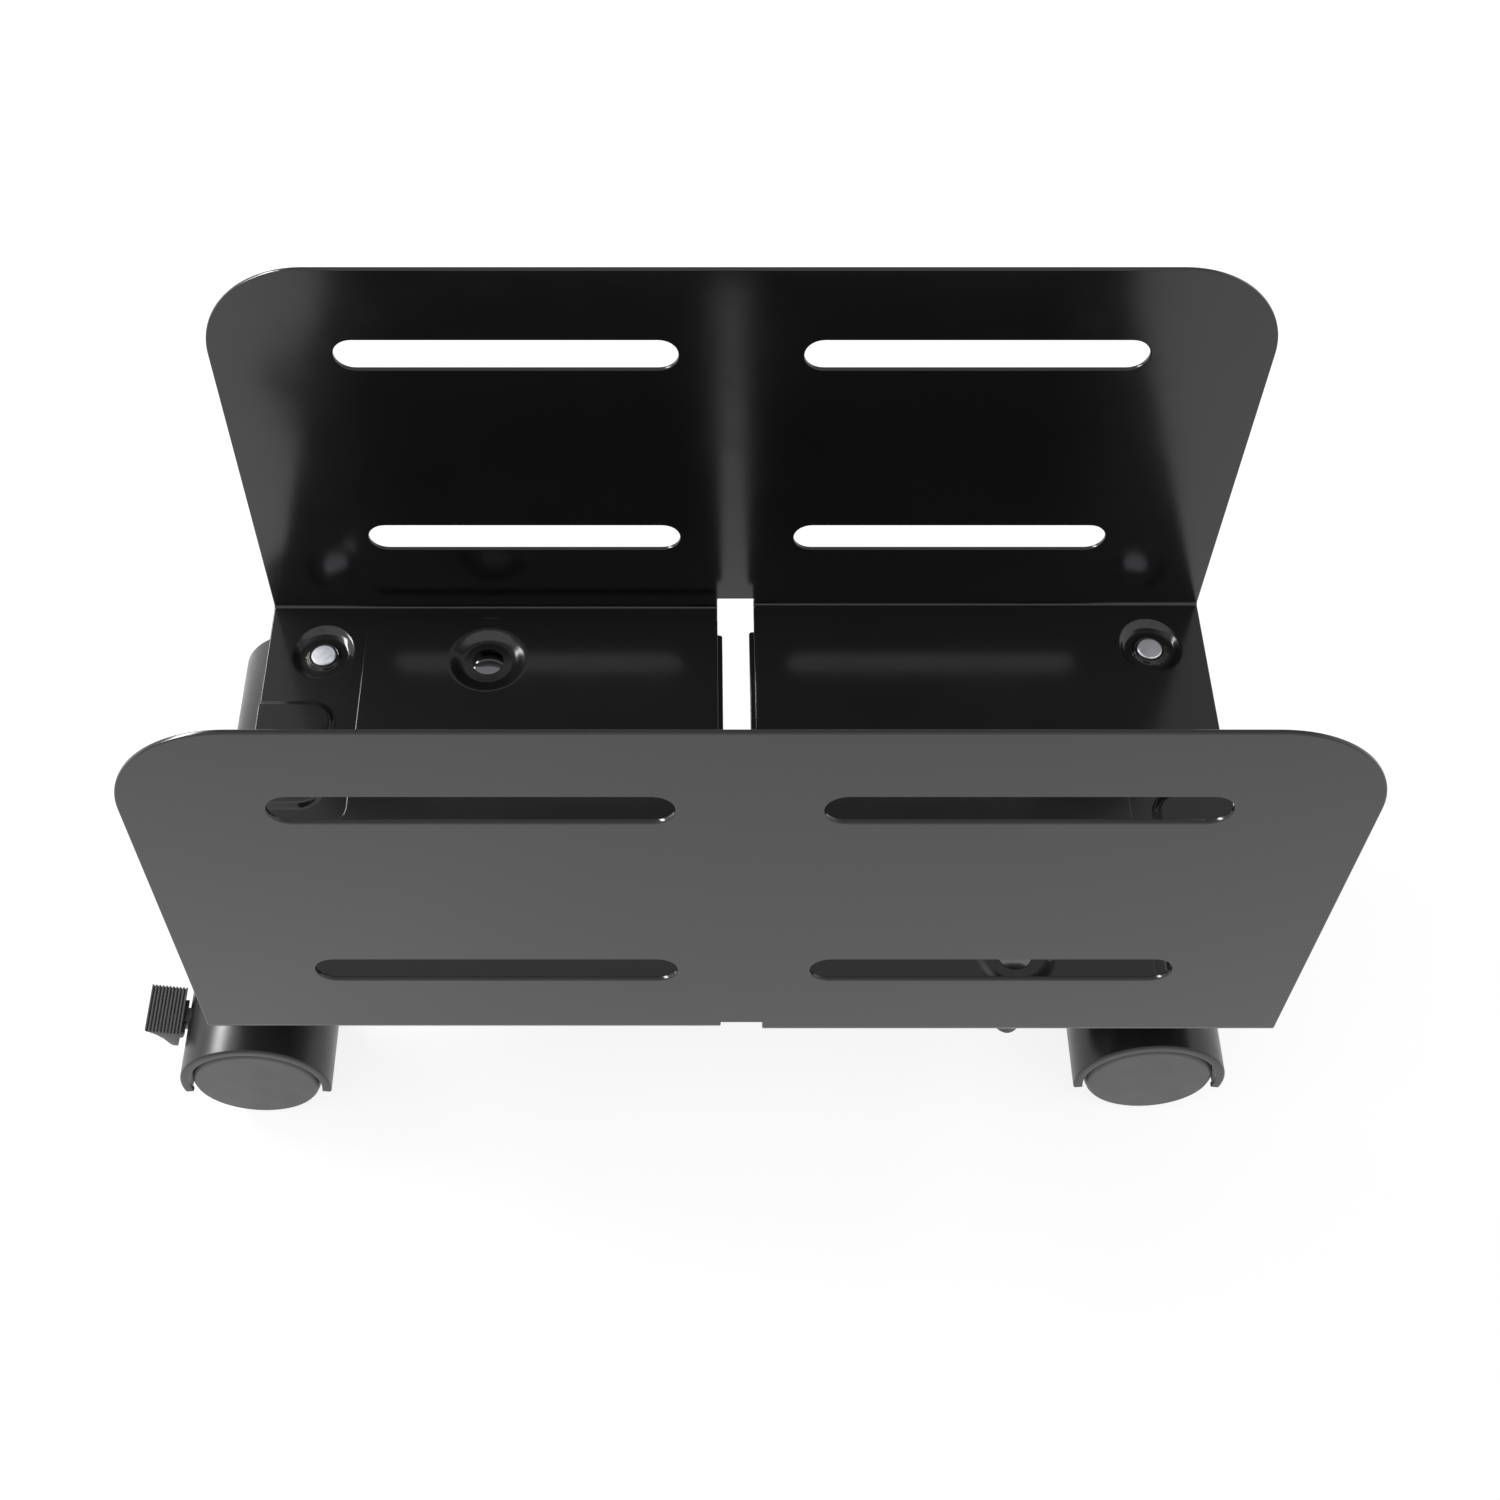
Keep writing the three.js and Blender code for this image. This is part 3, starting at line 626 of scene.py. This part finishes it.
def plate_mesh():
    """The sheet's two faces, and between them an edge that is rounded over at both sides."""
    outline = shifted(anticlockwise(plate_outline()), EDGE_ROUND)
    holes = [shifted(anticlockwise(hole), -EDGE_ROUND) for hole in plate_holes()]
    flat, triangles = flat_triangles(outline, holes)
    bm = bmesh.new()
    used = sorted({i for t in triangles for i in t})
    top = {i: bm.verts.new(skin(*flat[i], 0)) for i in used}
    bottom = {i: bm.verts.new(skin(*flat[i], SHEET)) for i in used}
    for t in triangles:
        bm.faces.new([top[i] for i in t])
        bm.faces.new([bottom[i] for i in reversed(t)])
    turns = [math.radians(a) for a in (30, 60, 90)]
    profile = [(EDGE_ROUND * math.sin(a), EDGE_ROUND * (1 - math.cos(a))) for a in turns]
    profile += [(reach, SHEET - depth) for reach, depth in reversed(profile)]
    edge = border(triangles)
    rings = {}
    for here, (before, after) in edge.items():
        out = -miter(flat[here] - flat[before], flat[after] - flat[here])
        middle = [bm.verts.new(skin(*(Vector(flat[here]) + out * reach), depth)) for reach, depth in profile]
        rings[here] = [top[here], *middle, bottom[here]]
    for here, (_, after) in edge.items():
        for k in range(len(profile) + 1):
            bm.faces.new((rings[after][k], rings[here][k], rings[here][k + 1], rings[after][k + 1]))
    bmesh.ops.recalc_face_normals(bm, faces=bm.faces)
    mesh = bpy.data.meshes.new("plate")
    bm.to_mesh(mesh)
    bm.free()
    mesh.shade_smooth()
    return mesh


def keep_flats(piece):
    """Keeps the sheet's flat faces flat in shading, beside its small rounded edges."""
    normals = piece.modifiers.new("normals", "WEIGHTED_NORMAL")
    normals.keep_sharp = True
    return piece


def add_plates():
    low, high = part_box("front_plate")
    middle = (low.x + high.x) / 2
    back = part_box("rear_plate")[1].y
    mesh = plate_mesh()
    placed = Matrix.Translation((middle, low.y, 0))
    turned = Matrix.Translation((middle, back, 0)) @ Matrix.Rotation(math.pi, 4, "Z")
    for side, made, place in (("front", mesh, placed), ("rear", mesh.copy(), turned)):
        node = side + "_plate"
        body = side + "_frame"
        keep_flats(add_piece(node + "_sheet", made, body, COAT, [node], place))


# ---- clamp bolts, washers and knobs ----

def axis_of(node):
    """A place on the floor at the middle of a CAD node."""
    low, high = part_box(node)
    return Matrix.Translation(((low.x + high.x) / 2, (low.y + high.y) / 2, 0))


def bolt_mesh(top, bottom):
    """A carriage bolt: polished dome, square neck and a threaded shank."""
    head, dome, half = BOLT["head"], BOLT["dome"], BOLT["neck_half"]
    seat = top - dome
    neck_bottom = seat - BOLT["neck"]
    sphere = (head**2 + dome**2) / (2 * dome)
    reach = math.asin(head / sphere)
    profile = [(0, seat), (head - 0.3, seat)]
    for k in range(13):
        angle = reach * (1 - k / 12)
        profile.append((sphere * math.sin(angle), top - sphere * (1 - math.cos(angle))))
    dome_part = lathe(profile, 64, closed=False)
    corners = [(-half, -half), (half, -half), (half, half), (-half, half)]
    neck = round_edges(prism(corners, neck_bottom, seat + 0.1), 0.2)
    crest, root, pitch = BOLT["crest"], BOLT["root"], BOLT["pitch"]
    thread = [(0, bottom), (root - 0.3, bottom), (crest - 0.3, bottom + 0.5)]
    turns = int((neck_bottom - bottom - 1) / pitch)
    for k in range(turns):
        height = bottom + 0.7 + k * pitch
        thread += [(crest, height), (root, height + pitch / 2)]
    thread += [(root, seat - 1), (0, seat - 1)]
    return finish_mesh("bolt", joined(dome_part, neck, lathe(thread, 48, closed=False)), 30)


def knob_mesh(bottom, top):
    """A lobed thumb knob with a fluted grip, a dished underside and a collar."""
    grip_top = bottom + KNOB_GRIP["height"]
    radius = KNOB_GRIP["radius"]
    rows = [  # height, radius and share of the lobes' depth
        (bottom, 9.2, 0.0), (bottom, 10.4, 0.0), (bottom + 0.25, 11.2, 0.5), (bottom + 1.0, radius, 1.0),
        (grip_top - 1.4, radius, 1.0), (grip_top - 0.4, 11.6, 0.6), (grip_top, 10.6, 0.0),
        (grip_top, 8.6, 0.0), (grip_top + 1.0, 7.6, 0.0), (top - 0.5, 7.4, 0.0), (top, 6.9, 0.0),
        (top, 3.4, 0.0), (top - 1.0, 3.3, 0.0),
    ]
    steps = 128
    bm = bmesh.new()
    rings = []
    for height, r, amount in rows:
        ring = []
        for k in range(steps):
            angle = 2 * math.pi * k / steps
            wave = math.cos(KNOB_GRIP["lobes"] * angle)
            here = r + amount * KNOB_GRIP["lobe"] * (wave - 0.5 * max(0, -wave) ** 2)
            ring.append(bm.verts.new((here * math.cos(angle) * MM, here * math.sin(angle) * MM, height * MM)))
        rings.append(ring)
    for a, b in zip(rings, rings[1:]):
        for k in range(steps):
            bm.faces.new((a[k], a[(k + 1) % steps], b[(k + 1) % steps], b[k]))
    bm.faces.new(list(reversed(rings[0])))
    bm.faces.new(rings[-1])
    return finish_mesh("knob", bm, 32)


def washer_mesh(size, bottom, top):
    inner, outer = size["inner"], size["outer"]
    profile = fillet([(inner, bottom), (outer, bottom), (outer, top), (inner, top)], 0.2, 3)
    return finish_mesh("washer", lathe(profile, 64))


def add_clamps():
    for where, body in (("rear_left", "front_frame"), ("front_right", "rear_frame")):
        bolt, washer, knob = (where + "_clamp_" + part for part in ("bolt", "washer", "knob"))
        place = axis_of(bolt)
        low, high = (value.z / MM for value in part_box(bolt))
        add_piece(bolt + "_piece", bolt_mesh(high, low), body, CHROME, [bolt], place)
        low, high = (value.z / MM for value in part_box(washer))
        mesh = washer_mesh(CLAMP_WASHER, low, high)
        add_piece(washer + "_piece", mesh, body, ZINC, [washer], place)
        low, high = (value.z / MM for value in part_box(knob))
        mesh = knob_mesh(low, high)
        add_piece(knob + "_piece", mesh, where + "_knob", KNOB, [knob], place)


# ---- casters ----

def stem_mesh(bottom, top):
    """A caster stem with a hexagonal collar under the sheet and a plain end that shows in its dimple."""
    radius, end = STEM["radius"], STEM["end"]
    step = STEM["collar_bottom"] + 0.2
    profile = [
        (0, bottom), (radius - 0.5, bottom), (radius, bottom + 0.5), (radius, step), (end, step),
        (end, top - 0.35), (end - 0.35, top), (0, top),
    ]
    shaft = lathe(profile, 48, closed=False)
    collar_top = top - STEM["proud"] - SHEET - FIT_GAP
    hexagon = arc(0, 0, STEM["collar"], 0, 360, 6)[:-1]
    collar = round_edges(prism(hexagon, STEM["collar_bottom"], collar_top), 0.35)
    return finish_mesh("stem", joined(shaft, collar), 30)


def about_axle(bm, trail):
    """Moves a shape made about the origin to the axle's place, in the stem's frame."""
    bmesh.ops.translate(bm, verts=bm.verts, vec=(-trail * MM, 0, WHEEL_RADIUS * MM))
    return bm


def rod(radius, bottom, top, segments, rounding=0.0):
    """A plain round bar about Z."""
    profile = [(0, bottom, 0), (radius, bottom, rounding), (radius, top, rounding), (0, top, 0)]
    return lathe(fillet(profile, 0, 3, closed=False), segments, False)


def hood_mesh(trail, boss_top, braked):
    """The arch over both wheels with a lip at each rim, the web between them and the boss for the stem."""
    half = HOOD_HALF
    inner = HOOD_INNER
    rim = HOOD_INNER - HOOD_LIP
    section = fillet(
        [
            (HOOD_OUTER, -half, 0.7), (HOOD_OUTER, half, 0.7), (rim, half, 0.25), (rim, half - 1.3, 0.3),
            (inner, half - 2.1, 0.3), (inner, -half + 2.1, 0.3), (rim, -half + 1.3, 0.3), (rim, -half, 0.25),
        ],
        0.3,
        4,
    )
    drop = math.degrees(math.asin(HOOD_DROP / HOOD_OUTER))
    arch = lathe(section, 96, sweep=180 + 2 * drop, start=-drop)
    bmesh.ops.rotate(arch, verts=arch.verts, cent=(0, 0, 0), matrix=Matrix.Rotation(math.pi / 2, 3, "X"))
    arch = about_axle(arch, trail)
    post = [(0, 30, 0), (BOSS_RADIUS, 30, 0), (BOSS_RADIUS, boss_top, 0.6), (0, boss_top, 0)]
    boss = lathe(fillet(post, 0, 4, closed=False), 64, False)
    clearance = about_axle(turn_to_y(rod(inner + 0.4, -half, half, 96)), trail)
    boss = boolean(boss, clearance, "DIFFERENCE")
    web_shape = arc(-trail, WHEEL_RADIUS, inner + 0.9, -11.2, 191.2, 64)
    web = prism(web_shape, -WEB_HALF, WEB_HALF, along="Y")
    hood = boolean(boolean(arch, web, "UNION"), boss, "UNION")
    hood = boolean(hood, rod(STEM["socket"], 14, boss_top + 1, 32), "DIFFERENCE")
    bore = about_axle(turn_to_y(rod(AXLE["bore"], -30, 30, 32)), trail)
    hood = boolean(hood, bore, "DIFFERENCE")
    if braked:
        gap = TONGUE_HALF + FIT_GAP
        slot = prism([(-60, 10), (-20.5, 10), (-20.5, 31), (-60, 31)], -gap, gap, along="Y")
        hood = boolean(hood, slot, "DIFFERENCE")
        pin = turn_to_y(rod(LEVER_PIN["bore"], -8, 8, 24))
        bmesh.ops.translate(pin, verts=pin.verts, vec=(LEVER_PIN["x"] * MM, 0, LEVER_PIN["z"] * MM))
        hood = boolean(hood, pin, "DIFFERENCE")
    return finish_mesh("hood", hood, 28)


def wheel_mesh():
    """A twin wheel about Y from its inner side: a tread with rounded shoulders, a rim, a disc and a hub."""
    outer = WHEEL_WIDTH - CAP_INSET - CAP_THICKNESS - FIT_GAP
    bore = AXLE["bore"]
    profile = fillet(
        [
            (bore, 0, 0.2), (6, 0, 0.4), (6, 6, 0.8), (17, 6, 0.8), (17, 0.3, 0.3), (18.6, 0.3, 0.8),
            (WHEEL_RADIUS, 1.7, 1.0), (WHEEL_RADIUS, outer, 0.5), (bore, outer, 0.2),
        ],
        0.3,
        4,
    )
    return finish_mesh("wheel", turn_to_y(lathe(profile, 96)), 30)


def cap_mesh():
    """The wheel's cap: a flat disc with a soft rim and a shallow bevel just inside it."""
    outer = WHEEL_WIDTH - CAP_INSET
    back = outer - CAP_THICKNESS
    profile = fillet(
        [
            (0, back, 0), (CAP_RADIUS, back, 0.2), (CAP_RADIUS, outer - 1.1, 0.3),
            (CAP_RADIUS - 0.7, outer - 0.25, 0.3), (CAP_RADIUS - 1.3, outer, 0.3), (0, outer, 0),
        ],
        0.2,
        4,
        closed=False,
    )
    return finish_mesh("cap", turn_to_y(lathe(profile, 96, False)), 30)


def curve(start, control, end, steps=8):
    """Points along a quadratic curve, without its last one."""
    made = []
    for k in range(steps):
        t = k / steps
        weights = ((1 - t) ** 2, 2 * t * (1 - t), t * t)
        made.append(tuple(sum(w * p[i] for w, p in zip(weights, (start, control, end))) for i in (0, 1)))
    return made


def lever_mesh():
    """The pedal with its grip ribs, the shoulder against the hood, and the tongue with the pivot's eye."""
    ribs, depth = 11, 0.85
    left, right = Vector((-45.7, 33.0)), Vector((-34.8, 30.55))
    along = (right - left).normalized()
    up = Vector((-along.y, along.x))
    pitch = (right - left).length / (ribs - 0.45)
    top = []
    for k in range(ribs):
        start = left + along * (pitch * k)
        top += [start, start + along * (0.55 * pitch)]
        if k < ribs - 1:
            top += [start + along * (0.62 * pitch) - up * depth, start + along * (0.93 * pitch) - up * depth]
    side = curve((-34.8, 30.5), (-35.9, 26.8), (-37.3, 22.1))
    toe = curve((-37.3, 22.1), (-39.3, 22.1), (-39.9, 24))
    under = curve((-39.9, 24), (-41.5, 29.3), (-45.7, 32.2), 12)
    outline = [tuple(p) for p in top] + side[1:] + toe + under + [(-45.7, 32.2)]
    pedal = round_edges(prism(outline, -LEVER_HALF, LEVER_HALF, along="Y"), 0.1, 2, 35)
    shoulder = [(-38.5, 22.8), (-36, 22.8), (-35.1, 25), (-34.6, 26.8), (-36.5, 26.8)]
    block = round_edges(prism(shoulder, -SHOULDER_HALF, SHOULDER_HALF, along="Y"), 0.25, 2)
    eye = [(-37.5, 28.6), (-37.5, 23), (-28, 19.8)] + arc(LEVER_PIN["x"], LEVER_PIN["z"], 3.2, -90, 90, 16)
    tongue = round_edges(prism(eye, -TONGUE_HALF, TONGUE_HALF, along="Y"), 0.3, 2)
    return finish_mesh("lever", joined(pedal, block, tongue), 30)


def add_caster(where, body, braked, wheel, cap):
    stem = where + "_stem"
    place = axis_of(stem)
    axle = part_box(where + "_axle")
    trail = place.translation.x / MM - (axle[0].x + axle[1].x) / 2 / MM
    low, high = (value.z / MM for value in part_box(stem))
    add_piece(stem + "_piece", stem_mesh(low, high), body, ZINC, [stem], place)
    washer = where + "_swivel_washer"
    low, high = (value.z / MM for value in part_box(washer))
    mesh = washer_mesh(SWIVEL_WASHER, low, high)
    add_piece(washer + "_piece", mesh, body, ZINC, [washer], place)
    caster = where + "_caster"
    hood = where + "_hood"
    mesh = hood_mesh(trail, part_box(hood)[1].z / MM, braked)
    add_piece(hood + "_shell", mesh, caster, HOOD, [hood], place)
    middle = Matrix.Translation((place.translation.x - trail * MM, place.translation.y, WHEEL_RADIUS * MM))
    mesh = finish_mesh("axle", turn_to_y(rod(AXLE["radius"], -AXLE["reach"], AXLE["reach"], 40, 0.5)))
    add_piece(where + "_axle_pin", mesh, caster, ZINC, [where + "_axle"], middle)
    for side, facing in (("front", -1), ("rear", 1)):
        name = f"{where}_{side}_wheel"
        at = middle @ Matrix.Translation((0, facing * (WEB_HALF + SIDE_GAP) * MM, 0))
        if facing < 0:
            at = at @ Matrix.Rotation(math.pi, 4, "Z")
        add_piece(name + "_tread", wheel.copy(), name, WHEEL, [name], at)
        cap_name = f"{where}_{side}_cap"
        add_piece(cap_name + "_disc", cap.copy(), name, CAP, [cap_name], at)
    if braked:
        lever = where + "_lever"
        add_piece(lever + "_pedal", lever_mesh(), lever, LEVER, [lever], place)
        reach = LEVER_PIN["reach"]
        mesh = finish_mesh("pin", turn_to_y(rod(LEVER_PIN["radius"], -reach, reach, 32, 0.2)))
        at = place @ Matrix.Translation((LEVER_PIN["x"] * MM, 0, LEVER_PIN["z"] * MM))
        add_piece(where + "_lever_pin_rod", mesh, caster, ZINC, [where + "_lever_pin"], at)


def add_casters():
    wheel = wheel_mesh()
    cap = cap_mesh()
    for where, body, braked in (
        ("front_left", "front_frame", True),
        ("front_right", "front_frame", False),
        ("rear_left", "rear_frame", False),
        ("rear_right", "rear_frame", True),
    ):
        add_caster(where, body, braked, wheel, cap)


# ---- stage, light and camera ----

FLOOR_HALF = 6.0  # metres
REAR_LIGHT = 0.5  # how bright the studio is above and behind the stand, where the rest of it is 1
SOFTBOX = {"length": 1.4, "width": 0.5, "power": 45, "distance": 2.0}


def add_floor():
    bm = bmesh.new()
    bmesh.ops.create_grid(bm, x_segments=1, y_segments=1, size=FLOOR_HALF)
    mesh = bpy.data.meshes.new("floor")
    bm.to_mesh(mesh)
    bm.free()
    floor = bpy.data.objects.new("floor", mesh)
    bpy.context.scene.collection.objects.link(floor)
    material = bpy.data.materials.new("pale_floor")
    material.use_nodes = True
    shader = material.node_tree.nodes["Principled BSDF"]
    shader.inputs["Base Color"].default_value = (0.2, 0.2, 0.2, 1)
    shader.inputs["Roughness"].default_value = 1.0
    shader.inputs["Specular IOR Level"].default_value = 0.0
    shader.inputs["Emission Color"].default_value = (1, 1, 1, 1)
    shader.inputs["Emission Strength"].default_value = 0.84
    mesh.materials.append(material)


def add_light():
    """An even white studio that is dimmer above and behind the stand, and one softbox on the left."""
    scene = bpy.context.scene
    world = bpy.data.worlds.new("studio")
    scene.world = world
    world.use_nodes = True
    tree = world.node_tree
    direction = tree.nodes.new("ShaderNodeTexCoord")
    split = tree.nodes.new("ShaderNodeSeparateXYZ")
    shade = tree.nodes.new("ShaderNodeMapRange")
    shade.interpolation_type = "SMOOTHSTEP"
    shade.clamp = True
    shade.inputs["From Min"].default_value = 0.12
    shade.inputs["From Max"].default_value = 0.36
    shade.inputs["To Min"].default_value = 1.0
    shade.inputs["To Max"].default_value = REAR_LIGHT
    tree.links.new(direction.outputs["Generated"], split.inputs["Vector"])
    rear_and_up = tree.nodes.new("ShaderNodeMath")
    rear_and_up.operation = "MULTIPLY"
    tree.links.new(split.outputs["Y"], rear_and_up.inputs[0])
    tree.links.new(split.outputs["Z"], rear_and_up.inputs[1])
    tree.links.new(rear_and_up.outputs["Value"], shade.inputs["Value"])
    tree.links.new(shade.outputs["Result"], tree.nodes["Background"].inputs["Strength"])
    tree.nodes["Background"].inputs["Color"].default_value = (1, 1, 1, 1)
    scene.view_settings.view_transform = "Standard"
    softbox = bpy.data.lights.new("left_softbox", "AREA")
    softbox.shape = "RECTANGLE"
    softbox.size = SOFTBOX["length"]
    softbox.size_y = SOFTBOX["width"]
    softbox.energy = SOFTBOX["power"]
    box = bpy.data.objects.new("left_softbox", softbox)
    scene.collection.objects.link(box)
    aim = Vector((0, 0, 0.04))
    box.location = aim + SOFTBOX["distance"] * Vector((-0.72, 0.43, 0.56)).normalized()
    box.rotation_euler = (box.location - aim).to_track_quat("Z", "Y").to_euler()
    box.visible_camera = False


def add_camera():
    data = bpy.data.cameras.new("camera")
    camera = bpy.data.objects.new("camera", data)
    bpy.context.scene.collection.objects.link(camera)
    data.sensor_width = 36
    data.lens = 48.92
    data.shift_x = 0.0362
    data.shift_y = -0.0193
    camera.location = (-0.00028, -0.36525, 0.6093)
    camera.rotation_euler = (math.radians(35.768), 0, 0)
    bpy.context.scene.camera = camera


add_camera()
add_plates()
add_clamps()
add_casters()
add_floor()
add_light()
